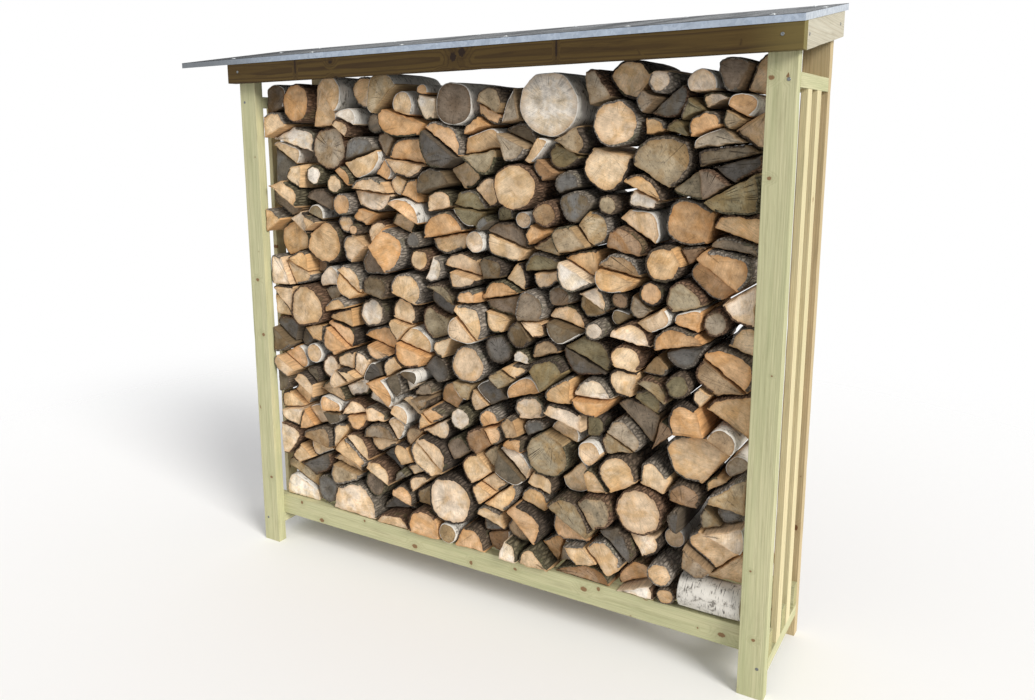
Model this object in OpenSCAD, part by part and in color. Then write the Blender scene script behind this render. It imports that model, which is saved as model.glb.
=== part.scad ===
// Log store: an open-fronted timber frame on four posts, with slatted ends and
// a sloping sheet-metal roof, filled with a stack of round and split firewood.
// The origin is on the ground, under the middle of the roof sheet.

/* [Store] */
// Length over the posts, left to right
store_l = 1960; // [1200:10:2600]
// Depth over the posts, front to back
store_d = 423; // [360:1:600]
// Height of the front beam's underside above the ground
eaves_h = 1782; // [1200:1:2200]

/* [Timber] */
// Wide face of the posts, rails and rafter
timber_w = 75; // [60:1:100]
// Thickness of the posts, beams, rails and rafter
timber_t = 38; // [30:1:50]
// Height of the front and back beams at their outer faces
beam_h = 84; // [70:1:110]
// Thickness of the sloping boards outside the posts
board_t = 18; // [12:1:25]
// Width of the upright slats
slat_w = 50; // [30:1:60]
// Thickness of the upright slats
slat_t = 18; // [12:1:30]
// Distance between the middles of the two slats in an end
slat_pitch = 118; // [100:1:130]
// Height of the lower end rails' undersides above the ground
lower_rail_z = 75; // [40:1:120]
// Height of the open space between the upper end rail and the eaves
upper_gap = 48; // [30:1:100]

/* [Roof] */
// Slope of the roof, rising to the back, in degrees
roof_pitch = 8.6; // [4:0.1:15]
// How far the sheet runs past the left posts
roof_left = 260; // [40:5:320]
// How far the sheet runs past the back beam
roof_back = 40; // [10:1:80]
// Thickness of the sheet
sheet_t = 1.2; // [0.8:0.1:3]
// Depth of the folded edge round the sheet
lip_h = 19; // [10:1:40]
// Clearance between the folded edge and the timber inside it
lip_gap = 0.5; // [0.2:0.1:2]

/* [Firewood] */
// Mean width of a log across its end
log_w = 104; // [70:1:140]
// Shortest log
log_l_min = 265; // [200:5:280]
// Longest log
log_l_max = 320; // [285:5:340]
// Space between one log and the next
log_gap = 0.8; // [0.5:0.1:0.9]
// Space between the stack and the posts at each end
stack_gap = 2; // [1:1:20]
// Mean height of the space between the stack and the eaves
stack_drop = 26; // [15:1:80]
// Length of the logs laid lengthwise at the right end of the front rail
cross_l = 190; // [150:5:260]
// Width of those logs
cross_w = 112; // [80:1:140]
// Number that sets how the logs are mixed
mix_seed = 19; // [1:1:99]

/* [Hidden] */

half_l = store_l / 2;
roof_rise = tan(roof_pitch);
base_z = lower_rail_z + timber_t;
stack_z = base_z + timber_w;
upper_rail_z = eaves_h - upper_gap - timber_t;
left = -1;
right = 1;

// The sheet's edges, along the store and in depth, from the middle of the posts' front faces
sheet_x0 = -half_l - roof_left;
sheet_x1 = half_l + board_t + lip_gap + sheet_t;
sheet_y0 = -timber_t - lip_gap - sheet_t;
sheet_y1 = store_d + timber_t + roof_back;

// Height of the sheet's underside at depth y
function roof_z(y) = eaves_h + beam_h + (y + timber_t) * roof_rise;

// Pieces are drawn from the middle of the posts' front faces, then set under the sheet's middle
module set_out() {
    translate([-(sheet_x0 + sheet_x1) / 2, -(sheet_y0 + sheet_y1) / 2, 0]) children();
}

// An outline drawn in depth and height, run from x0 for a length along the store
module run_along(x0, length) {
    set_out() translate([x0, 0, 0]) rotate([90, 0, 90]) linear_extrude(length) children();
}

// A block from its low corner to its high corner
module block(low, high) {
    set_out() translate(low) cube(high - low);
}

// ---- Posts: upright timbers, cut at the top to the slope of the roof ----
module post(side, y0) {
    color("#b9ba8c")
    run_along(side < 0 ? -half_l : half_l - timber_w, timber_w)
        polygon([
            [y0, 0], [y0 + timber_t, 0],
            [y0 + timber_t, roof_z(y0 + timber_t)], [y0, roof_z(y0)]
        ]);
}

// ---- Beams: the front one covers the ends of the sloping boards ----
module beam(y0, bottom, length) {
    color("#8f8657")
    run_along(-length / 2, length)
        polygon([
            [y0, bottom], [y0 + timber_t, bottom],
            [y0 + timber_t, roof_z(y0 + timber_t)], [y0, roof_z(y0)]
        ]);
}

module beam_front() {
    beam(-timber_t, eaves_h, store_l + 2 * board_t);
}

module beam_back() {
    beam(store_d, roof_z(store_d) - beam_h, store_l);
}

// ---- Sloping boards: outside the posts, from the front beam to past the back one ----
module slope_board(side) {
    back = store_d + timber_t;
    color("#cfcb9c")
    run_along(side < 0 ? -half_l - board_t : half_l, board_t)
        polygon([[0, eaves_h], [back, eaves_h + back * roof_rise], [back, roof_z(back)], [0, roof_z(0)]]);
}

// ---- Rafter: one timber on edge between the beams, under the middle of the sheet ----
module rafter() {
    color("#8f8657")
    run_along(-timber_t / 2, timber_t)
        polygon([
            [0, roof_z(0) - timber_w], [store_d, roof_z(store_d) - timber_w],
            [store_d, roof_z(store_d)], [0, roof_z(0)]
        ]);
}

// ---- End rails: timbers laid flat between the front and back posts ----
module end_rail(side, z0) {
    x0 = side < 0 ? -half_l : half_l - timber_w;
    color("#c3c094")
    block([x0, timber_t, z0], [x0 + timber_w, store_d - timber_t, z0 + timber_t]);
}

// ---- Slats: upright battens between the end rails, flush with their outer edges ----
module slat(side, step) {
    x0 = side < 0 ? -half_l : half_l - slat_t;
    y0 = (store_d - slat_w) / 2 + step * slat_pitch / 2;
    color("#d8d3a4")
    block([x0, y0, base_z], [x0 + slat_t, y0 + slat_w, upper_rail_z]);
}

// ---- Base rails: timbers on edge that stand on the lower end rails and carry the logs ----
module base_rail(y0) {
    color("#aeb08a")
    block([-half_l, y0, base_z], [half_l, y0 + timber_t, base_z + timber_w]);
}

// ---- Roof: one sheet of galvanised steel with its edges folded down all round ----
// The flat part and the four folds are nodes of their own, and they meet face to face.
module roof_sheet() {
    color("#9aa3ad")
    run_along(sheet_x0, sheet_x1 - sheet_x0)
        polygon([
            [sheet_y0, roof_z(sheet_y0)], [sheet_y1, roof_z(sheet_y1)],
            [sheet_y1, roof_z(sheet_y1) + sheet_t], [sheet_y0, roof_z(sheet_y0) + sheet_t]
        ]);
}

// A fold that runs from x0 for a length, between depths y0 and y1
module roof_edge(x0, length, y0, y1) {
    drop = lip_h - sheet_t;
    color("#9aa3ad")
    run_along(x0, length)
        polygon([[y0, roof_z(y0) - drop], [y1, roof_z(y1) - drop], [y1, roof_z(y1)], [y0, roof_z(y0)]]);
}

module roof_edge_along(y0) {
    roof_edge(sheet_x0, sheet_x1 - sheet_x0, y0, y0 + sheet_t);
}

module roof_edge_end(x0) {
    roof_edge(x0, sheet_t, sheet_y0 + sheet_t, sheet_y1 - sheet_t);
}

// ---- Firewood ----
// Trunks of mixed width are packed over the front of the stack, the widest first. The line
// between two neighbours lies where their sizes balance, and some trunks are split in two
// or three. Each log fills its share, with bark as an arc and flat faces where it was split.
COURSES = 17;
ARC_STEP = 20;
// How near two trunks may come, as a share of their radii together
CLOSENESS = 0.9;
// Radius of each width class against the mean, and the trunks tried in it per square metre
CLASSES = [[1.5, 11], [1.3, 60], [1.08, 127], [0.86, 177], [0.66, 247], [0.5, 318]];
// Trunks between these radii, against the mean, are mostly split
SPLIT_SIZES = [0.95, 1.6];
SPLIT_SHARE = 0.85;
// The angle between the two splits of a trunk in three
SPLIT_TURN = 115;
// Shortest edge of an outline
EDGE_MIN = 2;
// How far along the stack, and how high its top is there against the mean
TOP_LINE = [[0, 30], [0.3, 30], [0.35, -10], [0.6, -10], [0.65, 30], [0.8, 30], [0.85, 0], [1, 30]];
// How far the tops of the highest logs vary from that line
TOP_VARIES = [-14, 14];
// Bark runs this far each way round a split log, in degrees
BARK_TURN = 120;
// How much wider than high a trunk's share of the stack is
WIDER = 1.16;
// A log's flat side or its wedge's edge is mostly underneath: how much that counts
FLAT_DOWN = 0.6;
EDGE_DOWN = 40;
// A share with a corner sharper than this makes a wedge
WEDGE_ANGLE = 75;

// Wide logs that stand out: how far along the stack, how high in it, and radius against the mean
WIDE_LOGS = [
    [0.65, 0.95, 2.1], [0.85, 0.85, 1.5], [0.95, 0.8, 1.5], [0.35, 0.85, 1.5],
    [0.25, 0.85, 1.5], [0.15, 0.65, 1.6], [0.1, 0.5, 1.6], [0.25, 0.5, 1.4],
    [0.1, 0.2, 1.5], [0.8, 0.35, 1.5], [0.45, 0.1, 1.8], [0.65, 0.25, 1.6],
    [0.8, 0.5, 1.4], [0.9, 0.3, 1.6]
];

stack_x = half_l - timber_w - stack_gap;
stack_top = eaves_h - stack_drop;
stack_h = stack_top - stack_z;
course_h = stack_h / COURSES;
mean_r = log_w / 2;

// The corner that the lengthwise logs take up: its left edge and its top
cross_x = stack_x - cross_l;
cross_top = stack_z + log_gap / 2 + cross_w;

// A convex outline with everything beyond the line n * p = d cut away
function cut(outline, n, d) =
    [for (i = [0:1:len(outline) - 1])
        let (
            a = outline[i],
            b = outline[(i + 1) % len(outline)],
            da = n * a - d,
            db = n * b - d
        )
        each concat(da <= 0 ? [a] : [], da * db < 0 ? [a + (b - a) * da / (da - db)] : [])];

function cut_all(outline, lines, i = 0) =
    i == len(lines) ? outline : cut_all(cut(outline, lines[i][0], lines[i][1]), lines, i + 1);

// An outline without corners that lie almost on the next one
function without_slivers(v) =
    [for (i = [0:1:len(v) - 1]) if (norm(v[i] - v[(i + 1) % len(v)]) > EDGE_MIN) v[i]];

// Trunks as [x, z, radius, number], each kept only where the ones before leave it room
function crowded(placed, x, z, r) =
    len([for (p = placed) if (norm([p[0] - x, p[1] - z]) < CLOSENESS * (p[2] + r)) 1]) > 0;

function settle(tries, placed = [], i = 0) =
    i == len(tries) ? placed
        : settle(tries, crowded(placed, tries[i][0], tries[i][1], tries[i][2]) ? placed
            : concat(placed, [concat(tries[i], [len(placed)])]), i + 1);

// Heights in the stack are stretched while its trunks are packed, then put back
function stretched(z) = stack_z + (z - stack_z) * WIDER;

function put_back(v) = [for (p = v) [p[0], stack_z + (p[1] - stack_z) / WIDER]];

function wide_tries() =
    [for (w = WIDE_LOGS)
        [(2 * w[0] - 1) * stack_x, stretched(stack_z + w[1] * stack_h), w[2] * mean_r]];

function clear_of_corner(x, z, r) = x < cross_x - r || z > stretched(cross_top) + r;

function class_tries(k) =
    let (
        r = CLASSES[k][0] * mean_r,
        count = round(CLASSES[k][1] * 2 * stack_x * stack_h / 1e6),
        x = rands(r * 0.8 - stack_x, stack_x - r * 0.8, count, mix_seed + 10 * k),
        z = rands(stack_z + r * 0.8, stretched(stack_top) - r * 0.6, count, mix_seed + 10 * k + 3),
        vary = rands(0.88, 1.12, count, mix_seed + 10 * k + 6)
    )
    [for (i = [0:count - 1]) if (clear_of_corner(x[i], z[i], r * 0.7)) [x[i], z[i], r * vary[i]]];

function trunks() = settle(concat(wide_tries(), [for (k = [0:len(CLASSES) - 1]) each class_tries(k)]));

// The line between two trunks, drawn back by half the space between logs
function border(here, there) =
    let (
        a = [here[0], here[1]],
        b = [there[0], there[1]],
        n = (b - a) / norm(b - a),
        pull = here[2] * here[2] - there[2] * there[2]
    )
    [n, n * a + norm(b - a) / 2 + pull / (2 * norm(b - a)) - log_gap / 2];

// One trunk's share of the stack's front, clear of the lengthwise logs
function share(here, trunks) =
    let (
        z0 = stack_z + log_gap / 2,
        along = (here[0] / stack_x + 1) / 2,
        vary = rands(TOP_VARIES[0], TOP_VARIES[1], 1, mix_seed + here[3])[0],
        top = stretched(stack_top + lookup(along, TOP_LINE) + vary),
        all = [[-stack_x, z0], [stack_x, z0], [stack_x, top], [-stack_x, top]],
        over = stretched(cross_top) + log_gap,
        beside = here[0] < cross_x ? [[1, 0], cross_x - log_gap] : [[0, -1], -over],
        reach = here[2] + 2.5 * log_w,
        in_corner = !clear_of_corner(here[0], here[1], reach),
        near = [for (p = trunks)
            if (p[3] != here[3] && norm([p[0] - here[0], p[1] - here[1]]) < p[2] + reach) p]
    )
    put_back(cut_all(all, concat(in_corner ? [beside] : [], [for (p = near) border(here, p)])));

function mean_point(v, i = 0, total = [0, 0]) =
    i == len(v) ? total / len(v) : mean_point(v, i + 1, total + v[i]);

// How far an outline reaches from a point in a direction
function reach_of(outline, from, dir) = max([for (p = outline) (p - from) * dir]);

// The two sides of a split through a point
function split(outline, through, turn) =
    let (n = [cos(turn), sin(turn)])
    [cut(outline, n, n * through - log_gap / 2), cut(outline, -n, -n * through - log_gap / 2)];

// A share as one, two or three pieces
function pieces(outline, count, turn) =
    let (mid = mean_point(outline), halves = split(outline, mid, turn))
    count == 1 ? [outline] : count == 2 ? halves
        : concat([halves[0]], split(halves[1], mid, turn + SPLIT_TURN));

// Tangent lines that round an outline off about a centre, through a fan of directions
function rounding(centre, r, from, to) =
    [for (a = [from:ARC_STEP:to]) [[cos(a), sin(a)], [cos(a), sin(a)] * centre + r]];

function corner_angles(v) =
    [for (i = [0:1:len(v) - 1])
        let (a = v[(i + len(v) - 1) % len(v)] - v[i], b = v[(i + 1) % len(v)] - v[i])
        acos(max(-1, min(1, a * b / norm(a) / norm(b))))];

function place_of_least(v, i = 0, best = 0) =
    i == len(v) ? best : place_of_least(v, i + 1, v[i] < v[best] ? i : best);

// Every side's length, with more for a side that faces down
function seat_lengths(v) =
    [for (i = [0:1:len(v) - 1])
        let (side = v[(i + 1) % len(v)] - v[i])
        norm(side) + FLAT_DOWN * side[0]];

// Every corner's angle, with less for a corner low down
function edge_angles(v, mid, outer) =
    let (angles = corner_angles(v))
    [for (i = [0:1:len(v) - 1]) angles[i] + EDGE_DOWN * (v[i][1] - mid[1]) / outer];

// A round log's outline
function round_outline(full, mid, inner) = cut_all(full, rounding(mid, inner * 1.06, 0, 340));

// A wedge's outline: bark faces away from its sharp edge
function wedge_outline(full, edge, mid) =
    let (
        dir = (mid - edge) / norm(mid - edge),
        bark = atan2(dir[1], dir[0])
    )
    cut_all(full, rounding(edge, reach_of(full, edge, dir) * 0.98, bark - BARK_TURN, bark + BARK_TURN));

// The outline of a log at the top of the stack: bark is an arc over the whole of it
function top_outline(full, mid, inner) =
    let (
        back_off = inner * 0.35,
        r = back_off + reach_of(full, mid, [0, 1]) * 0.97
    )
    cut_all(full, rounding(mid - [0, back_off], r, 90 - BARK_TURN, 90 + BARK_TURN));

// A half log's outline: bark is an arc over its flat side, from a to b
function half_outline(full, a, b) =
    let (
        width = norm(b - a),
        dir = [a[1] - b[1], b[0] - a[0]] / width,
        seat = (a + b) / 2,
        height = reach_of(full, seat, dir),
        r = (width * width / 4 + height * height) / (2 * height) * 1.02,
        bark = atan2(dir[1], dir[0])
    )
    cut_all(full, rounding(seat + dir * (height * 0.99 - r), r, bark - BARK_TURN, bark + BARK_TURN));

// The outline of the end of a log that fills its share. Most even shares make a round log.
function log_outline(full, chance) =
    let (
        mid = mean_point(full),
        outer = max([for (p = full) norm(p - mid)]),
        inner = min([for (a = [0:ARC_STEP:340]) reach_of(full, mid, [cos(a), sin(a)])]),
        top = max([for (p = full) p[1]]),
        sharp = place_of_least(edge_angles(full, mid, outer)),
        seat = place_of_least(-seat_lengths(full)),
        is_round = inner / outer > 0.5 + 0.28 * chance,
        is_wedge = corner_angles(full)[sharp] < WEDGE_ANGLE
    )
    without_slivers(
        is_round ? round_outline(full, mid, inner)
        : top > stack_top - 30 ? top_outline(full, mid, inner)
        : is_wedge ? wedge_outline(full, full[sharp], mid)
        : half_outline(full, full[seat], full[(seat + 1) % len(full)])
    );

// Logs as [middle, outline, number]
function logs(trunks) =
    [for (t = trunks)
        let (
            full = without_slivers(share(t, trunks)),
            dice = rands(0, 1, 3, mix_seed * 31 + t[3] * 7),
            is_middling = t[2] > SPLIT_SIZES[0] * mean_r && t[2] < SPLIT_SIZES[1] * mean_r,
            is_split = is_middling && t[1] + t[2] < stretched(stack_top) - 25 && dice[0] < SPLIT_SHARE,
            parts = pieces(full, !is_split ? 1 : dice[1] < 0.7 ? 2 : 3, 45 + dice[1] * 90)
        )
        for (k = [0:len(parts) - 1])
            [mean_point(parts[k]), log_outline(without_slivers(parts[k]), dice[2]), t[3] + 0.1 * k]];

module log(here) {
    dice = rands(0, 1, 2, mix_seed * 17 + 10 * here[2]);
    length = log_l_min + (log_l_max - log_l_min) * dice[0];
    spare = store_d - timber_t - length - 20;
    front = 12 + max(spare, 0) * dice[1] * 0.8;
    set_out() translate([0, front + length, 0]) rotate([90, 0, 0]) linear_extrude(length) polygon(here[1]);
}

function course_of(here) = max(0, min(COURSES - 1, floor((here[0][1] - stack_z) / course_h)));

module logs_course(c) {
    color(c % 2 == 0 ? "#c99b68" : "#a98a66")
    for (here = logs(trunks()))
        if (course_of(here) == c)
            log(here);
}

// Two logs lie lengthwise, one over the front rail and one over the back rail
module logs_lengthwise() {
    r = cross_w / 2;
    z0 = stack_z + log_gap / 2;
    inset = 1.5 * timber_t + 8;
    color("#cfc8bd")
    for (y = [inset, store_d - inset])
        run_along(cross_x, cross_l)
            polygon(cut_all([[y - r, z0], [y + r, z0], [y + r, cross_top], [y - r, cross_top]],
                rounding([y, z0 + r], r, 0, 340)));
}

post(left, 0);  // post_front_left
post(right, 0);  // post_front_right
post(left, store_d - timber_t);  // post_back_left
post(right, store_d - timber_t);  // post_back_right
beam_front();
beam_back();
slope_board(left);  // slope_board_left
slope_board(right);  // slope_board_right
rafter();
end_rail(left, upper_rail_z);  // end_rail_upper_left
end_rail(right, upper_rail_z);  // end_rail_upper_right
end_rail(left, lower_rail_z);  // end_rail_lower_left
end_rail(right, lower_rail_z);  // end_rail_lower_right
slat(left, -1);  // slat_left_front
slat(left, 1);  // slat_left_back
slat(right, -1);  // slat_right_front
slat(right, 1);  // slat_right_back
base_rail(timber_t);  // base_rail_front
base_rail((store_d - timber_t) / 2);  // base_rail_middle
base_rail(store_d - 2 * timber_t);  // base_rail_back
roof_sheet();
roof_edge_along(sheet_y0);  // roof_edge_front
roof_edge_along(sheet_y1 - sheet_t);  // roof_edge_back
roof_edge_end(sheet_x0);  // roof_edge_left
roof_edge_end(sheet_x1 - sheet_t);  // roof_edge_right
logs_course(0);  // logs_course_01
logs_course(1);  // logs_course_02
logs_course(2);  // logs_course_03
logs_course(3);  // logs_course_04
logs_course(4);  // logs_course_05
logs_course(5);  // logs_course_06
logs_course(6);  // logs_course_07
logs_course(7);  // logs_course_08
logs_course(8);  // logs_course_09
logs_course(9);  // logs_course_10
logs_course(10);  // logs_course_11
logs_course(11);  // logs_course_12
logs_course(12);  // logs_course_13
logs_course(13);  // logs_course_14
logs_course(14);  // logs_course_15
logs_course(15);  // logs_course_16
logs_course(16);  // logs_course_17
logs_lengthwise();
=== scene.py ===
# Log store: an open-fronted softwood frame on four posts under a galvanised sheet,
# packed with round and split firewood. Built in metres, in the CAD model's frame.
import math
import random

import bmesh
import bpy
import numpy as np
from mathutils import Matrix, Vector, noise


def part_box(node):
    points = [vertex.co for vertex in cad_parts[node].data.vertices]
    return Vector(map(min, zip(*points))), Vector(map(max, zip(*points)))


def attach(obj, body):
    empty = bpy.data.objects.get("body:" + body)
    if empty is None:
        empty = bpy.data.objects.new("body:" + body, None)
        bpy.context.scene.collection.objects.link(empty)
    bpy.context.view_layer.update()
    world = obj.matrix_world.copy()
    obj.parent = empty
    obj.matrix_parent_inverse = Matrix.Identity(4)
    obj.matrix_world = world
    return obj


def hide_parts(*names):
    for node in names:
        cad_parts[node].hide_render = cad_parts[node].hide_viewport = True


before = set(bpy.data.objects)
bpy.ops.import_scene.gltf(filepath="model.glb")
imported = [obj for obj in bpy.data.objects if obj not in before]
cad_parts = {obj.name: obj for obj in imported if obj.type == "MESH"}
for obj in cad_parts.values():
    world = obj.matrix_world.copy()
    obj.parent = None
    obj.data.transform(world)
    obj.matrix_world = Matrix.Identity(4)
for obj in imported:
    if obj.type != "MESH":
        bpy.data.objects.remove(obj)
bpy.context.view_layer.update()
scene = bpy.context.scene


# ---- View, light and floor ----
# A standing view from the right of the front, as a buyer sees the store in a yard.
# Bright overcast light, stronger from the right, and a white floor that fades out.
def srgb(hex_colour):
    """Linear RGBA of an sRGB hex colour."""
    parts = [int(hex_colour[i:i + 2], 16) / 255 for i in (1, 3, 5)]
    return [p / 12.92 if p <= 0.04045 else ((p + 0.055) / 1.055) ** 2.4 for p in parts] + [1.0]


def feed(node, settings=None, **links):
    """Sets a node's properties and sockets, and links nodes or their sockets into it.
    A socket goes by its name or, after an underscore, by its number."""
    for name, value in (settings or {}).items():
        if hasattr(node, name):
            setattr(node, name, value)
        else:
            node.inputs[int(name[1:]) if name[0] == "_" else name].default_value = value
    for name, source in links.items():
        if isinstance(source, bpy.types.Node):
            source = next(output for output in source.outputs if output.enabled)
        socket = node.inputs[int(name[1:]) if name[0] == "_" else name.replace("_", " ")]
        node.id_data.links.new(source, socket)
    return node


def add(tree, kind, settings=None, **links):
    """Adds a shader node with its settings and links."""
    return feed(tree.nodes.new("ShaderNode" + kind), settings, **links)


def new_material(name):
    """A node material that holds only its main shader and its output."""
    material = bpy.data.materials.new(name)
    material.use_nodes = True
    tree = material.node_tree
    tree.nodes.clear()
    shader = add(tree, "BsdfPrincipled")
    add(tree, "OutputMaterial", Surface=shader)
    return material, tree, shader


def finished_mesh(name, bm, materials):
    """The mesh that a bmesh describes, with its materials."""
    mesh = bpy.data.meshes.new(name)
    bm.to_mesh(mesh)
    bm.free()
    for material in materials:
        mesh.materials.append(material)
    return mesh


def in_scene(name, data):
    """A new object in the scene that holds the data."""
    thing = bpy.data.objects.new(name, data)
    scene.collection.objects.link(thing)
    return thing


def make_camera():
    eye = Vector((1.608, -2.537, 1.59))
    turn, tilt, roll = math.radians(33.0), math.radians(10.6), math.radians(-0.73)
    data = bpy.data.cameras.new("camera")
    data.sensor_width = 36.0
    data.lens = 30.27
    data.shift_x, data.shift_y = 0.0512, -0.0509
    camera = in_scene("camera", data)
    aim = Matrix.Rotation(turn, 4, "Z") @ Matrix.Rotation(math.pi / 2 - tilt, 4, "X")
    camera.matrix_world = Matrix.Translation(eye) @ aim @ Matrix.Rotation(roll, 4, "Z")
    scene.camera = camera


def make_light():
    world = bpy.data.worlds.new("sky")
    scene.world = world
    world.use_nodes = True
    tree = world.node_tree
    tree.nodes.clear()
    path = add(tree, "LightPath")
    seen = add(tree, "Math", {"operation": "MAXIMUM"}, _0=path.outputs["Is Camera Ray"],
               _1=path.outputs["Is Glossy Ray"])
    seen = add(tree, "Math", {"operation": "MAXIMUM"}, _0=seen, _1=path.outputs["Is Transmission Ray"])
    sky = add(tree, "Background", {"Color": (0.99, 0.99, 1.0, 1.0), "Strength": 0.62})
    white = add(tree, "Background", {"Color": (1.0, 1.0, 1.0, 1.0), "Strength": 1.0})
    mix = add(tree, "MixShader", _0=seen, _1=sky, _2=white)
    add(tree, "OutputWorld", Surface=mix)
    sun = bpy.data.lights.new("sun", "SUN")
    sun.energy = 3.0
    sun.angle = math.radians(24)
    sun.color = (1.0, 0.975, 0.93)
    lamp = in_scene("sun", sun)
    lamp.rotation_mode = "QUATERNION"
    towards_sun = Vector((0.85, -0.37, 0.50))
    lamp.rotation_quaternion = towards_sun.to_track_quat("Z", "Y")


def make_floor():
    """A round white floor that turns clear towards its rim, so that no edge shows."""
    radius, fade_start, fade_end = 6.0, 1.4, 4.2
    material, tree, shader = new_material("white_floor")
    feed(shader, {"Base Color": (0.93, 0.93, 0.93, 1.0), "Roughness": 0.9, "Specular IOR Level": 0.1})
    place = add(tree, "TexCoord")
    away = add(tree, "VectorMath", {"operation": "LENGTH"}, _0=place.outputs["Object"])
    fade = add(tree, "MapRange", {"interpolation_type": "SMOOTHSTEP", "From Min": fade_start,
                                  "From Max": fade_end}, Value=away)
    clear = add(tree, "BsdfTransparent")
    mix = add(tree, "MixShader", _0=fade, _1=shader, _2=clear)
    feed(next(node for node in tree.nodes if node.type == "OUTPUT_MATERIAL"), Surface=mix)
    bm = bmesh.new()
    bmesh.ops.create_circle(bm, cap_ends=True, segments=96, radius=radius)
    floor = in_scene("floor", finished_mesh("floor", bm, [material]))


make_camera()
make_light()
make_floor()
scene.view_settings.view_transform = "Standard"


# ---- Posts ----
# Sawn softwood, 75 by 38 mm, pressure treated, which leaves it pale green over yellow.
# Each is cut to length with a circular saw and stands on its sawn end.
def nearest_knot(tree, share, knots):
    """The least of a knot distance and the distances to knots at set places on the front."""
    place = add(tree, "TexCoord").outputs["Object"]
    for x, z, width, height in knots:
        sized = (2 / width, 0.0, 2 / height)
        apart = add(tree, "VectorMath", {"operation": "MULTIPLY_ADD", "_1": sized,
                                         "_2": (-x * sized[0], 0.0, -z * sized[2])}, _0=place)
        away = add(tree, "VectorMath", {"operation": "LENGTH"}, _0=apart)
        share = add(tree, "Math", {"operation": "MINIMUM"}, _0=share, _1=away)
    return share


def knots_and_rings(tree, ring_mm, knots):
    """Nodes for a sawn timber: its grain, latewood, knots, the wood round them and fine fibres.
    The grain attribute holds the way along the timber and the two ways out from the pith."""
    knots_a_metre, drift_size = (4.5, 14.0, 0.0), 0.012
    grain = add(tree, "Attribute", {"attribute_name": "grain"}).outputs["Vector"]
    # Knots: branches run out from the pith, so they are points over the length and the width
    spread = add(tree, "VectorMath", {"operation": "MULTIPLY", "_1": knots_a_metre}, _0=grain)
    cells = add(tree, "TexVoronoi", {"voronoi_dimensions": "3D", "feature": "F1", "Scale": 1.0},
                Vector=spread)
    apart = add(tree, "VectorMath", {"operation": "SUBTRACT"}, _0=spread, _1=cells.outputs["Position"])
    drawn_out = (knots_a_metre[0] * 1.5, knots_a_metre[1], 1e6)
    metres = add(tree, "VectorMath", {"operation": "DIVIDE", "_1": drawn_out}, _0=apart)
    away = add(tree, "VectorMath", {"operation": "LENGTH"}, _0=metres)
    chance = add(tree, "SeparateColor", Color=cells.outputs["Color"])
    wobble = add(tree, "TexNoise", {"Scale": 160.0, "Detail": 1.0}, Vector=grain)
    size = add(tree, "MapRange", {"From Min": 0.62, "From Max": 1.0, "To Min": 0.0001, "To Max": 0.010},
               Value=chance)
    share = add(tree, "Math", {"operation": "DIVIDE"}, _0=away, _1=size)
    if knots:
        share = nearest_knot(tree, share, knots)
    rough = add(tree, "Math", {"operation": "MULTIPLY_ADD", "_1": 0.6}, _0=wobble, _2=share)
    knot = add(tree, "MapRange", {"interpolation_type": "SMOOTHSTEP", "From Min": 1.3, "From Max": 0.95},
               Value=rough)
    knot_rim = add(tree, "MapRange", {"interpolation_type": "SMOOTHSTEP", "From Min": 4.0, "From Max": 0.8},
                   Value=rough)
    # Rings: distance from the pith, bent by slow noise and round the knots
    flat = add(tree, "VectorMath", {"operation": "MULTIPLY", "_1": (0.0, 1.0, 1.0)}, _0=grain)
    from_pith = add(tree, "VectorMath", {"operation": "LENGTH"}, _0=flat)
    slow = add(tree, "VectorMath", {"operation": "MULTIPLY", "_1": (1.6, 22.0, 22.0)}, _0=grain)
    drift = add(tree, "TexNoise", {"Scale": 1.0, "Detail": 2.0, "Roughness": 0.45}, Vector=slow)
    bent = add(tree, "Math", {"operation": "MULTIPLY_ADD", "_1": drift_size}, _0=drift, _2=from_pith)
    bent = add(tree, "Math", {"operation": "MULTIPLY_ADD", "_1": 0.011}, _0=knot_rim, _2=bent)
    turns = add(tree, "Math", {"operation": "MULTIPLY", "_1": 1000.0 / ring_mm}, _0=bent)
    year = add(tree, "Math", {"operation": "FRACT"}, _0=turns)
    late = add(tree, "ValToRGB", Fac=year)
    ramp = late.color_ramp
    for end, position in zip(ramp.elements, (0.0, 1.0)):
        end.position, end.color = position, (0.1, 0.1, 0.1, 1)
    for position, value in ((0.45, 0.0), (0.86, 1.0), (0.93, 0.85)):
        ramp.elements.new(position).color = (value, value, value, 1)
    # Fibres: thin streaks along the timber
    thin = add(tree, "VectorMath", {"operation": "MULTIPLY", "_1": (9.0, 700.0, 700.0)}, _0=grain)
    fibre = add(tree, "TexNoise", {"Scale": 1.0, "Detail": 3.0, "Roughness": 0.6}, Vector=thin)
    return grain, late, knot, knot_rim, fibre


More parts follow.
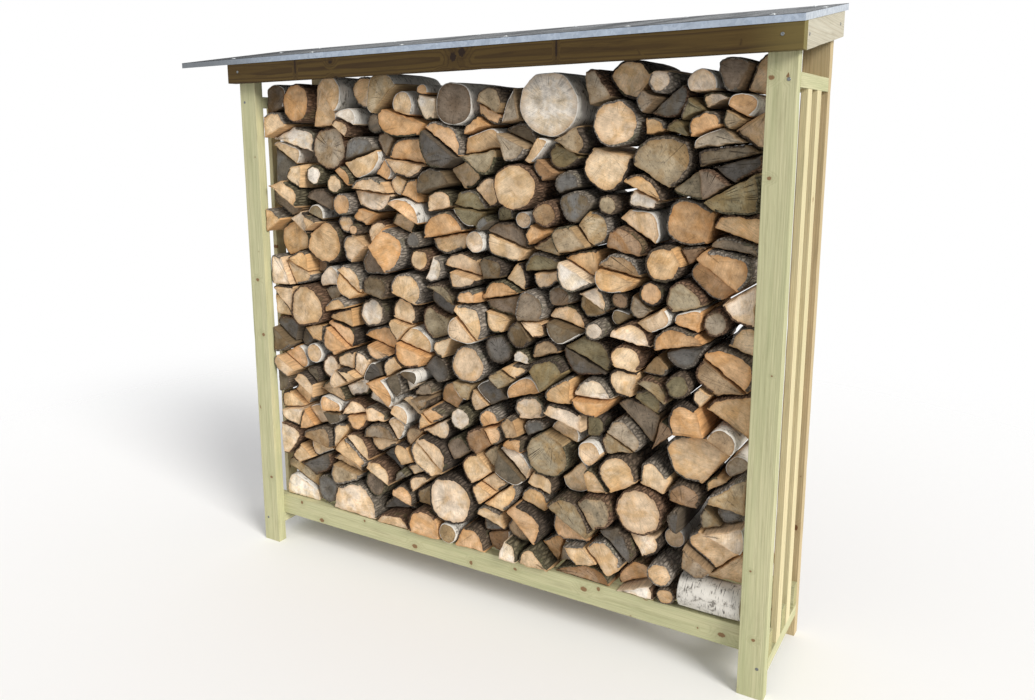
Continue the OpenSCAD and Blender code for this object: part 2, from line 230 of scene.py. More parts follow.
def sawn_wood(name, early, late_wood, stain, knot_colour, ring_mm=4.2, stain_share=0.6, ring_share=0.55,
              dirt="#6d6444", dirt_share=0.35, knots=(), olive_end_x=None):
    """Sawn softwood: dull, with pale and dark rings, stains along the grain and brown knots.
    It may turn lighter olive towards its right end, whose place along x it is given."""
    olive_colour, olive_share, olive_over = "#8a7d4c", 0.4, 0.16
    material, tree, shader = new_material(name)
    grain, late, knot, rim, fibre = knots_and_rings(tree, ring_mm, knots)
    faint = add(tree, "Math", {"operation": "MULTIPLY", "_1": ring_share}, _0=late)
    wood = add(tree, "Mix", {"data_type": "RGBA", "_6": srgb(early), "_7": srgb(late_wood)}, _0=faint)
    # Preservative takes unevenly, in patches drawn out along the grain
    cloudy = add(tree, "VectorMath", {"operation": "MULTIPLY", "_1": (1.8, 26.0, 26.0)}, _0=grain)
    cloud = add(tree, "TexNoise", {"Scale": 1.0, "Detail": 5.0, "Roughness": 0.62}, Vector=cloudy)
    patch = add(tree, "MapRange", {"From Min": 0.36, "From Max": 0.66, "To Max": stain_share}, Value=cloud)
    stained = add(tree, "Mix", {"data_type": "RGBA", "_7": srgb(stain)}, _0=patch, _6=wood)
    # Weather leaves grey-brown streaks a few centimetres wide and short dark marks
    weather = add(tree, "VectorMath", {"operation": "MULTIPLY", "_1": (5.0, 60.0, 60.0)}, _0=grain)
    worn = add(tree, "TexNoise", {"Scale": 1.0, "Detail": 6.0, "Roughness": 0.7}, Vector=weather)
    dirty = add(tree, "MapRange", {"From Min": 0.54, "From Max": 0.74, "To Max": dirt_share}, Value=worn)
    soiled = add(tree, "Mix", {"data_type": "RGBA", "_7": srgb(dirt)}, _0=dirty, _6=stained)
    streak = add(tree, "MapRange", {"From Min": 0.3, "From Max": 0.7, "To Min": 0.84, "To Max": 1.1},
                 Value=fibre)
    fibrous = add(tree, "VectorMath", {"operation": "SCALE"}, _0=soiled, Scale=streak)
    near_knot = add(tree, "Math", {"operation": "MULTIPLY", "_1": 0.4}, _0=rim)
    ringed = add(tree, "Mix", {"data_type": "RGBA", "_7": srgb(late_wood)}, _6=fibrous, _0=near_knot)
    knotty = add(tree, "Mix", {"data_type": "RGBA", "_7": srgb(knot_colour)}, _0=knot, _6=ringed)
    # Lighter olive towards the right end of the timber, over its last 16 cm
    if olive_end_x is not None:
        place = add(tree, "TexCoord").outputs["Object"]
        along = add(tree, "SeparateXYZ", Vector=place)
        olive_mask = add(tree, "MapRange",
                       {"interpolation_type": "SMOOTHSTEP", "From Min": olive_end_x - olive_over,
                        "From Max": olive_end_x, "To Max": olive_share}, Value=along)
        knotty = add(tree, "Mix", {"data_type": "RGBA", "_7": srgb(olive_colour)},
                     _0=olive_mask, _6=knotty)
    rough = add(tree, "MapRange", {"To Min": 0.7, "To Max": 0.88}, Value=cloud)
    # The saw leaves fibres standing and faint ridges on the latewood, a few tenths of a millimetre
    height = add(tree, "Math", {"operation": "MULTIPLY_ADD", "_1": 0.5}, _0=late, _2=fibre)
    bump = add(tree, "Bump", {"Strength": 0.5, "Distance": 0.0006}, Height=height)
    feed(shader, {"Specular IOR Level": 0.25}, Base_Color=knotty, Roughness=rough, Normal=bump)
    return material


def whorl_knots(nodes, year_growth, seed):
    """Knots on the front faces of timbers, each its place along and up, its width and its height.
    Pine branches grow in whorls a year's growth apart, so a knot stands near each such step."""
    chance = random.Random(seed)
    knots, clear_end = [], 0.03
    for node in nodes:
        low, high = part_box(node)
        upright = high.z - low.z > high.x - low.x
        at, end = (low.z, high.z) if upright else (low.x, high.x)
        at += year_growth * chance.uniform(0.3, 0.9)
        while at < end - clear_end:
            aside, size = chance.uniform(0.15, 0.85), chance.uniform(0.004, 0.016)
            if upright:
                knots.append((low.x + (high.x - low.x) * aside, at, size * 1.2, size))
            else:
                knots.append((at, low.z + (high.z - low.z) * aside, size, size * 1.2))
            at += year_growth * chance.uniform(0.5, 1.5)
    return knots


front_knots = whorl_knots(("post_front_left", "post_front_right", "base_rail_front"), 0.40, 5)
treated = sawn_wood("treated_pine", "#c9c59e", "#a5a27c", "#a5aa80", "#86694a", ring_share=0.42,
                    knots=front_knots)
END_GRAIN = {"ring_mm": 3.2, "ring_share": 1.0}
treated_end = sawn_wood("treated_pine_end_grain", "#b9b182", "#867f54", "#8f9068", "#6e4a2a", **END_GRAIN)


def welded(node):
    """A CAD node's mesh, with the corners of its facets joined."""
    bm = bmesh.new()
    bm.from_mesh(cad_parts[node].data)
    bmesh.ops.remove_doubles(bm, verts=bm.verts, dist=1e-6)
    return bm


def bevelled(node, offset, profile):
    """A CAD node's mesh, with whole faces, and with its edges bevelled by offset."""
    bm = welded(node)
    bmesh.ops.dissolve_limit(bm, angle_limit=0.02, verts=bm.verts, edges=bm.edges)
    bmesh.ops.bevel(bm, geom=bm.edges[:], offset=offset, segments=2, profile=profile, affect="EDGES",
                    clamp_overlap=True)
    return bm


def sawn_timber(node, along, across, seed, materials=(treated, treated_end), arris=0.0016):
    """A detailed timber in place of a CAD one: eased edges, a few knocks, grain and end grain."""
    cut_step, deepest_knock = 0.05, 0.0012
    chance = random.Random(seed)
    along, across = Vector(along).normalized(), Vector(across).normalized()
    through = along.cross(across).normalized()
    low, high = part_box(node)
    middle = (low + high) / 2
    bm = bevelled(node, arris, 0.6)
    reach = [(v.co - middle).dot(along) for v in bm.verts]
    start, end = min(reach), max(reach)
    cuts = int((end - start) / cut_step)
    for i in range(1, cuts):
        where = middle + along * (start + (end - start) * (i + chance.uniform(-0.3, 0.3)) / cuts)
        everything = bm.verts[:] + bm.edges[:] + bm.faces[:]
        bmesh.ops.bisect_plane(bm, geom=everything, plane_co=where, plane_no=along)
    # The arrises are knocked here and there, towards the timber's middle line
    for v in bm.verts:
        out = v.co - middle
        line = middle + along * out.dot(along)
        knock = max(0.0, noise.noise(v.co * 23 + Vector((seed * 7.3, 0, 0))) - 0.25)
        v.co = v.co.lerp(line, min(deepest_knock, knock * 0.003) / max(0.01, (v.co - line).length))
    for face in bm.faces:
        face.smooth = False
        face.material_index = 1 if abs(face.normal.dot(along)) > 0.8 else 0
    mesh = finished_mesh(node + "_sawn", bm, materials)
    pith = (chance.uniform(-0.012, 0.012), chance.choice((-1, 1)) * chance.uniform(0.03, 0.06))
    grain = mesh.attributes.new("grain", "FLOAT_VECTOR", "POINT")
    for i, v in enumerate(mesh.vertices):
        out = v.co - middle
        from_pith = (out.dot(across) + pith[0], out.dot(through) + pith[1])
        grain.data[i].vector = (out.dot(along) + seed * 3.7, *from_pith)
    timber = in_scene(node + "_sawn", mesh)
    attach(timber, "root")
    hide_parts(node)


UP, ALONG, BACK = (0, 0, 1), (1, 0, 0), (0, 1, 0)
for seed, node in enumerate(("post_front_left", "post_front_right")):
    sawn_timber(node, UP, ALONG, seed + 1)
# The back posts are coloured tan, browner than the front posts
plain = sawn_wood("tan_pine", "#c9b690", "#a58b66", "#b0a17a", "#6f4a2e")
plain_end = sawn_wood("tan_pine_end_grain", "#c4a87e", "#94744c", "#a88e64", "#6e4a2a", **END_GRAIN)
for seed, node in enumerate(("post_back_left", "post_back_right")):
    sawn_timber(node, UP, ALONG, seed + 3, (plain, plain_end))


# ---- Front and back beams ----
# The front beam is coloured dark brown, darker than the rest of the frame, and lighter olive towards its
# right end.
# It is screwed over the ends of the sloping boards.
beam_low, beam_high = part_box("beam_front")


def beam_marks():
    """A pair of knots at the middle of the beam, and a dark scar some way to each side."""
    knot_size, scar_size = (0.028, 0.032), (0.008, 0.070)
    middle, length = (beam_low + beam_high) / 2, beam_high.x - beam_low.x
    pair = [(middle.x + side * 0.016, middle.z + side * 0.006, *knot_size) for side in (-1, 1)]
    scars = [(middle.x + length * share, middle.z, *scar_size) for share in (-1 / 3, 1 / 6)]
    return pair + scars


beam_wood = sawn_wood("dark_brown_pine", "#54421f", "#362610", "#463518", "#21140a", ring_mm=5.0,
                      stain_share=0.8, ring_share=0.95, dirt="#2f200c", dirt_share=0.75,
                      knots=beam_marks(), olive_end_x=beam_high.x)
beam_end = sawn_wood("dark_brown_pine_end_grain", "#857a48", "#615627", "#6e6438", "#3a2614", **END_GRAIN)
sawn_timber("beam_front", ALONG, UP, 11, (beam_wood, beam_end))
sawn_timber("beam_back", ALONG, UP, 12)


# ---- Sloping boards and rafter ----
# Thin boards outside the posts close the ends of the roof, and one rafter carries its middle.
# They slope with the roof, so their grain does too.
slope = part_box("slope_board_right")
rise = slope[1].z - slope[0].z - (beam_high.z - beam_low.z)
SLOPE = (0, slope[1].y - slope[0].y, rise)
pale = sawn_wood("pale_sawn_pine", "#beb9a7", "#a69b85", "#b3ac97", "#8a6a48")
for seed, node in enumerate(("slope_board_left", "slope_board_right", "rafter")):
    sawn_timber(node, SLOPE, UP, seed + 21, (pale, treated_end))


# ---- End rails, slats and base rails ----
# Short rails join the posts at each end, thin slats stand between them, and three rails
# on edge carry the logs. All are treated softwood, and the thin slats have dried paler.
slat_wood = sawn_wood("slat_pine", "#ddd0a8", "#bfa97e", "#c6c096", "#7d5a3a")
for seed, side in enumerate(("left", "right")):
    for k, level in enumerate(("upper", "lower")):
        sawn_timber(f"end_rail_{level}_{side}", BACK, ALONG, 31 + 2 * seed + k)
    for k, place in enumerate(("front", "back")):
        sawn_timber(f"slat_{side}_{place}", UP, BACK, 41 + 2 * seed + k, (slat_wood, treated_end), 0.0012)
for seed, place in enumerate(("front", "middle", "back")):
    sawn_timber(f"base_rail_{place}", ALONG, UP, 51 + seed)


# ---- Roof sheet ----
# Hot-dip galvanised steel, about a millimetre thick, with its edges folded down.
# The zinc gives a cool grey with a faint spangle. The top is coloured darker and speckled.
def galvanised_steel(name, dark, light, weathered, worn_share, shine):
    """Zinc crystals under grime. The sheet is darker and duller over the long overhang on the left."""
    dull_reach, fully_dull = 0.75, 0.1
    material, tree, shader = new_material(name)
    place = add(tree, "TexCoord").outputs["Object"]
    along = add(tree, "SeparateXYZ", Vector=place)
    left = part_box("roof_sheet")[0].x
    dulled = add(tree, "MapRange", {"interpolation_type": "SMOOTHSTEP", "From Min": left + dull_reach,
                                    "From Max": left + fully_dull, "To Max": 0.85}, Value=along)
    # Zinc crystals 8 to 12 mm across
    spangle = add(tree, "TexVoronoi", {"feature": "F1", "Scale": 100.0}, Vector=place)
    shade = add(tree, "SeparateColor", Color=spangle.outputs["Color"])
    zinc = add(tree, "Mix", {"data_type": "RGBA", "_6": srgb(dark), "_7": srgb(light)}, _0=shade)
    runs = add(tree, "VectorMath", {"operation": "MULTIPLY", "_1": (12.0, 2.0, 6.0)}, _0=place)
    dull = add(tree, "TexNoise", {"Scale": 1.0, "Detail": 5.0, "Roughness": 0.6}, Vector=runs)
    worn = add(tree, "MapRange", {"From Min": 0.4, "From Max": 0.7, "To Max": worn_share}, Value=dull)
    # Grit and dried drops, 2 to 4 mm across
    grit = add(tree, "TexNoise", {"Scale": 260.0, "Detail": 3.0, "Roughness": 0.7}, Vector=place)
    speck = add(tree, "MapRange", {"From Min": 0.5, "From Max": 0.68, "To Max": worn_share}, Value=grit)
    grimy = add(tree, "Math", {"operation": "MAXIMUM"}, _0=worn, _1=speck)
    grimy = add(tree, "Math", {"operation": "MAXIMUM"}, _0=grimy, _1=dulled)
    mixed = add(tree, "Mix", {"data_type": "RGBA", "_7": srgb(weathered)}, _0=grimy, _6=zinc)
    metal = add(tree, "MapRange", {"To Min": shine, "To Max": shine * 0.25}, Value=grimy)
    rough = add(tree, "MapRange", {"To Min": 0.34, "To Max": 0.75}, Value=grimy)
    height = add(tree, "TexNoise", {"Scale": 7.0, "Detail": 2.0}, Vector=place)
    bump = add(tree, "Bump", {"Strength": 0.2, "Distance": 0.004}, Height=height)
    feed(shader, {"Specular IOR Level": 0.5 * shine}, Base_Color=mixed, Metallic=metal, Roughness=rough,
         Normal=bump)
    return material


def folded_sheet(node, material):
    """The sheet or a fold in place of its CAD node, with its edges slightly rounded."""
    edge_radius = 0.0003
    mesh = finished_mesh(node + "_steel", bevelled(node, edge_radius, 0.5), [material])
    sheet = in_scene(node + "_steel", mesh)
    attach(sheet, "root")
    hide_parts(node)


sheet_steel = galvanised_steel("dark_galvanised_steel", "#4f5357", "#666a6e", "#343638", 0.95, 0.1)
edge_steel = galvanised_steel("galvanised_steel", "#a3afbf", "#b7c2d0", "#6c6f71", 0.3, 1.0)
end_steel = galvanised_steel("bright_galvanised_steel", "#bcc5cf", "#d6dde4", "#9a9fa4", 0.25, 1.0)
folded_sheet("roof_sheet", sheet_steel)
for side, steel in (("front", edge_steel), ("back", edge_steel), ("left", end_steel), ("right", end_steel)):
    folded_sheet("roof_edge_" + side, steel)


# ---- Screws ----
# Zinc-plated round-head screws join the frame, and screws on washers hold the sheet.
# Each head is a low dome with a cross-shaped recess, drawn as a small hollow.
def zinc_plate(name, bright, dull):
    """Zinc plating with a patina in patches 2 to 3 mm across."""
    material, tree, shader = new_material(name)
    place = add(tree, "TexCoord").outputs["Object"]
    patina = add(tree, "TexNoise", {"Scale": 380.0, "Detail": 4.0, "Roughness": 0.6}, Vector=place)
    colour = add(tree, "Mix", {"data_type": "RGBA", "_6": srgb(bright), "_7": srgb(dull)}, _0=patina)
    rough = add(tree, "MapRange", {"To Min": 0.25, "To Max": 0.5}, Value=patina)
    feed(shader, {"Metallic": 1.0}, Base_Color=colour, Roughness=rough)
    return material


def turned(bm, at, axis, profile, segments=20):
    """A turned shape that stands on a surface: profile holds radius and height pairs."""
    aim = Vector((0, 0, 1)).rotation_difference(Vector(axis)).to_matrix()
    angles = [2 * math.pi * i / segments for i in range(segments)]
    rings = [[bm.verts.new(Vector(at) + aim @ Vector((radius * math.cos(a), radius * math.sin(a), height)))
              for a in angles] for radius, height in profile]
    for low_ring, high_ring in zip(rings, rings[1:]):
        for i in range(segments):
            j = (i + 1) % segments
            bm.faces.new((low_ring[i], low_ring[j], high_ring[j], high_ring[i])).smooth = True
    bm.faces.new(rings[-1])
    bm.faces.new(rings[0][::-1])


# Profiles from the surface up, each point a radius and a height
HEAD = (
    (0.0046, 0.0), (0.0048, 0.0003), (0.0044, 0.0008),
    (0.0032, 0.0012), (0.0016, 0.0014), (0.0010, 0.0006),
)
WASHER = ((0.0085, 0.0), (0.0088, 0.0004), (0.0082, 0.0010), (0.0048, 0.0012))


def make_screws(name, places, washers, material):
    """One piece of many screws. A place is a point on a surface and the way that the head faces."""
    bm = bmesh.new()
    for at, axis in places:
        if washers:
            turned(bm, at, axis, WASHER)
            turned(bm, Vector(at) + Vector(axis).normalized() * WASHER[-1][1], axis, HEAD)
        else:
            turned(bm, at, axis, HEAD)
    screws = in_scene(name, finished_mesh(name, bm, [material]))
    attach(screws, "root")


def frame_screw_places():
    """Screws in the front beam, in the posts where end rails meet them, and in the sloping boards."""
    # How far they stand in from a post's inner face, and up from the front beam's underside
    beam_in, rail_in, front_up, back_up = 0.042, 0.054, 0.040, 0.100
    half_post, below_middle = 0.019, 0.006
    beam_screw_z = (beam_low.z + beam_high.z) / 2 - below_middle
    places = []
    for side in ("left", "right"):
        post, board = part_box("post_front_" + side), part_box("slope_board_" + side)
        inner = post[1].x if side == "left" else post[0].x
        out = 1 if side == "left" else -1
        places.append(((inner - out * beam_in, beam_low.y, beam_screw_z), (0, -1, 0)))
        rails = [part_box(f"end_rail_{level}_{side}") for level in ("upper", "lower")]
        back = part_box("post_back_" + side)
        for face, way in ((post[0].y, -1), (back[1].y, 1)):
            places += [((inner - out * rail_in, face, (r[0].z + r[1].z) / 2), (0, way, 0)) for r in rails]
        # The sloping board's screws into the two posts
        face = board[0].x if side == "left" else board[1].x
        for y, up in ((post[0].y, front_up), (back[0].y, back_up)):
            places.append(((face, y + half_post, beam_low.z + up), (-out, 0, 0)))
    return places


def roof_screw_places():
    """Screws on washers, down through the sheet into the beams and the sloping boards."""
    from_end, pitch, in_row = 0.08, 0.38, 6
    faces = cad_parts["roof_sheet"].data.polygons
    top = max((face for face in faces if face.normal.z > 0.5), key=lambda face: face.area)
    up = top.normal.copy()
    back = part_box("beam_back")
    board = {side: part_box("slope_board_" + side) for side in ("left", "right")}
    middle_y = (board["left"][0].y + board["left"][1].y) / 2

    def on_sheet(x, y):
        return (x, y, top.center.z - (y - top.center.y) * up.y / up.z), up

    rows = [(beam_low.y + beam_high.y) / 2, (back[0].y + back[1].y) / 2]
    places = [on_sheet(beam_high.x - from_end - pitch * k, y) for y in rows for k in range(in_row)]
    return places + [on_sheet((b[0].x + b[1].x) / 2, middle_y) for b in board.values()]


dull_zinc = zinc_plate("dull_zinc_plate", "#969a9b", "#565857")
bright_zinc = zinc_plate("bright_zinc_plate", "#e3e6e8", "#b4b8ba")
make_screws("frame_screws", frame_screw_places(), False, dull_zinc)
make_screws("roof_screws", roof_screw_places(), True, bright_zinc)


# ---- Firewood ----
# Mixed logs, chainsawn to 265 to 320 mm and split with an axe: round ends, halves and
# wedges, some fresh and tan, some weathered grey, in rough bark or in birch bark.
def sawn_end():
    """A log's cross-cut end: growth rings, a few checks from the pith, saw marks and stains.
    The look attribute holds a seed, how weathered the log is and how dark its heart is."""
    material, tree, shader = new_material("sawn_log_end")
    ring = add(tree, "Attribute", {"attribute_name": "ring"}).outputs["Vector"]
    tint_and_rim = add(tree, "Attribute", {"attribute_name": "end_colour"})
    tint, rim = tint_and_rim.outputs["Color"], tint_and_rim.outputs["Alpha"]
    look = add(tree, "Attribute", {"attribute_name": "look"}).outputs["Vector"]
    seed, age, heart = add(tree, "SeparateXYZ", Vector=look).outputs
    flat = add(tree, "VectorMath", {"operation": "MULTIPLY", "_1": (1.0, 1.0, 0.0)}, _0=ring)
    away = add(tree, "VectorMath", {"operation": "LENGTH"}, _0=flat)
    drift = add(tree, "TexNoise", {"Scale": 26.0, "Detail": 3.0}, Vector=ring)
    bent = add(tree, "Math", {"operation": "MULTIPLY_ADD", "_1": 0.014}, _0=drift, _2=away)
    # Rings 4 mm apart, a little wider than real ones so that they show
    turns = add(tree, "Math", {"operation": "MULTIPLY", "_1": 250.0}, _0=bent)
    year = add(tree, "Math", {"operation": "FRACT"}, _0=turns)
    late = add(tree, "MapRange", {"interpolation_type": "SMOOTHSTEP", "From Min": 0.35, "From Max": 0.95},
               Value=year)
    # Checks: dark cracks that keep their direction from the pith, mostly in weathered logs
    way = add(tree, "VectorMath", {"operation": "NORMALIZE"}, _0=flat)
    seeded = add(tree, "CombineXYZ", Z=seed)
    turned_way = add(tree, "VectorMath", {"operation": "MULTIPLY_ADD", "_1": (2.2, 2.2, 2.2)}, _0=way,
                     _2=seeded)
    fan = add(tree, "TexNoise", {"Scale": 1.3, "Detail": 2.0, "Roughness": 0.6}, Vector=turned_way)
    middle = add(tree, "Math", {"operation": "SUBTRACT", "_1": 0.5}, _0=fan)
    near = add(tree, "Math", {"operation": "ABSOLUTE"}, _0=middle)
    crack = add(tree, "MapRange", {"interpolation_type": "SMOOTHSTEP", "From Min": 0.010,
                                   "From Max": 0.002}, Value=near)
    broken = add(tree, "TexNoise", {"Scale": 18.0, "Detail": 1.0}, Vector=ring)
    kept = add(tree, "MapRange", {"From Min": 0.47, "From Max": 0.58}, Value=broken)
    crack = add(tree, "Math", {"operation": "MULTIPLY"}, _0=crack, _1=kept)
    shown = add(tree, "MapRange", {"To Min": 0.22, "To Max": 0.85}, Value=age)
    crack = add(tree, "Math", {"operation": "MULTIPLY"}, _0=crack, _1=shown)
    # Soft clouds of light and dark, 10 to 40 mm across
    cloud = add(tree, "TexNoise", {"Scale": 22.0, "Detail": 6.0, "Roughness": 0.68}, Vector=ring)
    shade = add(tree, "MapRange", {"From Min": 0.28, "From Max": 0.72, "To Min": 0.62, "To Max": 1.48},
                Value=cloud)
    lit = add(tree, "VectorMath", {"operation": "SCALE"}, _0=tint, Scale=shade)
    # Each log's own stain: orange sap to grey on fresh ends, blue-grey mould to brown on weathered ones
    elsewhere = add(tree, "VectorMath", {"operation": "ADD", "_1": (7.0, 3.0, 5.0)}, _0=ring)
    stain_map = add(tree, "TexNoise", {"Scale": 15.0, "Detail": 4.0, "Roughness": 0.6, "Distortion": 0.6},
                    Vector=elsewhere)
    stain = add(tree, "MapRange", {"From Min": 0.45, "From Max": 0.60, "To Max": 0.95}, Value=stain_map)
    own = add(tree, "Math", {"operation": "FRACT"}, _0=seed)
    fresh_tone = add(tree, "Mix", {"data_type": "RGBA", "_6": (0.93, 0.80, 0.60, 1.0),
                                   "_7": (0.84, 0.78, 0.68, 1.0)}, _0=own)
    grey_tone = add(tree, "Mix", {"data_type": "RGBA", "_6": (0.60, 0.66, 0.72, 1.0),
                                  "_7": (0.84, 0.66, 0.42, 1.0)}, _0=own)
    stain_tone = add(tree, "Mix", {"data_type": "RGBA"}, _0=age, _6=fresh_tone, _7=grey_tone)
    stain_colour = add(tree, "VectorMath", {"operation": "MULTIPLY"}, _0=lit, _1=stain_tone)
    stained = add(tree, "Mix", {"data_type": "RGBA"}, _0=stain, _6=lit, _7=stain_colour)
    brown = add(tree, "VectorMath", {"operation": "MULTIPLY", "_1": (0.66, 0.54, 0.42)}, _0=stained)
    ring_share = add(tree, "Math", {"operation": "MULTIPLY", "_1": 0.2}, _0=late)
    ringed = add(tree, "Mix", {"data_type": "RGBA"}, _0=ring_share, _6=stained, _7=brown)
    core = add(tree, "MapRange", {"interpolation_type": "SMOOTHSTEP", "From Min": 0.05, "From Max": 0.012,
                                  "To Max": 0.6}, Value=bent)
    core = add(tree, "Math", {"operation": "MULTIPLY"}, _0=core, _1=heart)
    hearty = add(tree, "Mix", {"data_type": "RGBA"}, _0=core, _6=ringed, _7=brown)
    # The rim dries and darkens first
    rim_noise = add(tree, "Math", {"operation": "MULTIPLY_ADD", "_1": 0.5}, _0=cloud, _2=rim)
    edge = add(tree, "MapRange", {"interpolation_type": "SMOOTHSTEP", "From Min": 0.98, "From Max": 1.34,
                                  "To Max": 0.8}, Value=rim_noise)
    rimmed = add(tree, "Mix", {"data_type": "RGBA"}, _0=edge, _6=hearty, _7=brown)
    # Small dark spots, most on weathered ends
    spots = add(tree, "TexNoise", {"Scale": 120.0, "Detail": 4.0, "Roughness": 0.7}, Vector=ring)
    speck = add(tree, "MapRange", {"From Min": 0.54, "From Max": 0.70, "To Max": 0.7}, Value=spots)
    speck_share = add(tree, "MapRange", {"To Min": 0.3, "To Max": 1.0}, Value=age)
    speck = add(tree, "Math", {"operation": "MULTIPLY"}, _0=speck, _1=speck_share)
    spotted = add(tree, "Mix", {"data_type": "RGBA", "_7": srgb("#2f2b26")}, _0=speck, _6=rimmed)
    # Saw marks: fine ridges across the end, in a direction of each log's own
    spun = add(tree, "VectorRotate", {"rotation_type": "Z_AXIS"}, Vector=ring, Angle=seed)
    kerf = add(tree, "VectorMath", {"operation": "MULTIPLY", "_1": (22.0, 300.0, 0.0)}, _0=spun)
    marks = add(tree, "TexNoise", {"Scale": 1.0, "Detail": 3.0, "Roughness": 0.6}, Vector=kerf)
    mark = add(tree, "MapRange", {"From Min": 0.3, "From Max": 0.7, "To Min": 0.86, "To Max": 1.1},
               Value=marks)
    marked = add(tree, "VectorMath", {"operation": "SCALE"}, _0=spotted, Scale=mark)
    cracked = add(tree, "Mix", {"data_type": "RGBA", "_7": srgb("#231a12")}, _0=crack, _6=marked)
    rough = add(tree, "Math", {"operation": "MULTIPLY_ADD", "_1": 0.8}, _0=spots, _2=marks)
    height = add(tree, "Math", {"operation": "MULTIPLY_ADD", "_1": -2.5}, _0=crack, _2=rough)
    bump = add(tree, "Bump", {"Strength": 0.7, "Distance": 0.0016}, Height=height)
    feed(shader, {"Roughness": 0.85, "Specular IOR Level": 0.2}, Base_Color=cracked, Normal=bump)
    return material


def split_face():
    """A face riven by an axe: long torn fibres, brighter and more orange than the sawn end."""
    material, tree, shader = new_material("split_log_face")
    ring = add(tree, "Attribute", {"attribute_name": "ring"}).outputs["Vector"]
    tint = add(tree, "Attribute", {"attribute_name": "end_colour"}).outputs["Color"]
    long = add(tree, "VectorMath", {"operation": "MULTIPLY", "_1": (160.0, 160.0, 7.0)}, _0=ring)
    fibre = add(tree, "TexNoise", {"Scale": 1.0, "Detail": 4.0, "Roughness": 0.65}, Vector=long)
    shade = add(tree, "MapRange", {"From Min": 0.3, "From Max": 0.7, "To Min": 0.55, "To Max": 1.15},
                Value=fibre)
    warm = add(tree, "VectorMath", {"operation": "MULTIPLY", "_1": (0.90, 0.77, 0.61)}, _0=tint)
    lit = add(tree, "VectorMath", {"operation": "SCALE"}, _0=warm, Scale=shade)
    bump = add(tree, "Bump", {"Strength": 0.8, "Distance": 0.003}, Height=fibre)
    feed(shader, {"Roughness": 0.8, "Specular IOR Level": 0.2}, Base_Color=lit, Normal=bump)
    return material


def rough_bark():
    """Oak, alder and ash bark: grey to brown plates with furrows along the log, darkened partly for their
    own darker bark and partly as painted shade.
    """
    material, tree, shader = new_material("rough_bark")
    ring = add(tree, "Attribute", {"attribute_name": "ring"}).outputs["Vector"]
    tint = add(tree, "Attribute", {"attribute_name": "bark_colour"}).outputs["Color"]
    long = add(tree, "VectorMath", {"operation": "MULTIPLY", "_1": (95.0, 95.0, 24.0)}, _0=ring)
    plates = add(tree, "TexVoronoi", {"feature": "DISTANCE_TO_EDGE", "Scale": 1.0}, Vector=long)
    fine = add(tree, "TexNoise", {"Scale": 140.0, "Detail": 5.0, "Roughness": 0.7}, Vector=ring)
    furrow = add(tree, "MapRange", {"From Min": 0.02, "From Max": 0.28}, Value=plates)
    shade = add(tree, "MapRange", {"From Min": 0.3, "From Max": 0.7, "To Min": 0.6, "To Max": 1.3},
                Value=fine)
    lit = add(tree, "VectorMath", {"operation": "SCALE"}, _0=tint, Scale=shade)
    # Painted shade, partly the furrows' own darker bark: the colour is scaled to 0.38 in the furrows
    deep = add(tree, "VectorMath", {"operation": "SCALE", "Scale": 0.38}, _0=lit)
    mixed = add(tree, "Mix", {"data_type": "RGBA"}, _0=furrow, _6=deep, _7=lit)
    moss = add(tree, "TexNoise", {"Scale": 14.0, "Detail": 4.0, "Roughness": 0.7}, Vector=ring)
    green = add(tree, "MapRange", {"From Min": 0.55, "From Max": 0.72, "To Max": 0.45}, Value=moss)
    mossy = add(tree, "Mix", {"data_type": "RGBA", "_7": srgb("#5f6340")}, _0=green, _6=mixed)
    height = add(tree, "Math", {"operation": "MULTIPLY_ADD", "_1": 0.5}, _0=fine, _2=furrow)
    bump = add(tree, "Bump", {"Strength": 0.9, "Distance": 0.003}, Height=height)
    feed(shader, {"Roughness": 0.92, "Specular IOR Level": 0.15}, Base_Color=mossy, Normal=bump)
    return material


def birch_bark():
    """Birch bark: chalky white, with short dark dashes round the log and rough black scars."""
    material, tree, shader = new_material("birch_bark")
    ring = add(tree, "Attribute", {"attribute_name": "ring"}).outputs["Vector"]
    round_log = add(tree, "VectorMath", {"operation": "MULTIPLY", "_1": (38.0, 38.0, 330.0)}, _0=ring)
    dashes = add(tree, "TexNoise", {"Scale": 1.0, "Detail": 2.0, "Roughness": 0.5}, Vector=round_log)
    dash = add(tree, "MapRange", {"From Min": 0.60, "From Max": 0.68, "To Max": 0.85}, Value=dashes)
    scars = add(tree, "TexNoise", {"Scale": 30.0, "Detail": 5.0, "Roughness": 0.7}, Vector=ring)
    scar = add(tree, "MapRange", {"From Min": 0.56, "From Max": 0.66, "To Max": 0.8}, Value=scars)
    pale = add(tree, "Mix", {"data_type": "RGBA", "_6": srgb("#f0ece4"), "_7": srgb("#b5b0a6")}, _0=scars)
    marked = add(tree, "Mix", {"data_type": "RGBA", "_7": srgb("#3b352f")}, _0=dash, _6=pale)
    scarred = add(tree, "Mix", {"data_type": "RGBA", "_7": srgb("#4a443c")}, _0=scar, _6=marked)
    height = add(tree, "Math", {"operation": "SUBTRACT"}, _0=scars, _1=dash)
    bump = add(tree, "Bump", {"Strength": 0.6, "Distance": 0.0015}, Height=height)
    feed(shader, {"Roughness": 0.7, "Specular IOR Level": 0.25}, Base_Color=scarred, Normal=bump)
    return material


LOG_MATERIALS = [sawn_end(), split_face(), rough_bark(), birch_bark()]
END, SPLIT, ROUGH, BIRCH = range(4)
FRESH_ENDS = (
    "#e2c6a2", "#e9d0ae", "#dfbb94", "#ecdac4", "#e4caaa",
    "#eee5d8", "#dab388", "#dfbe94", "#e6ccac", "#e3c9a6",
)
GREY_ENDS = (
    "#9c8d7a", "#a5987f", "#857666", "#7c7a76", "#ad9b80", "#a3896f",
    "#696560", "#b0a28e", "#b69d7e", "#8e8468", "#786d5c", "#bcab8e",
)
BARKS = ("#726354", "#837667", "#5e5349", "#91877a", "#736b56", "#806652", "#a0968a")
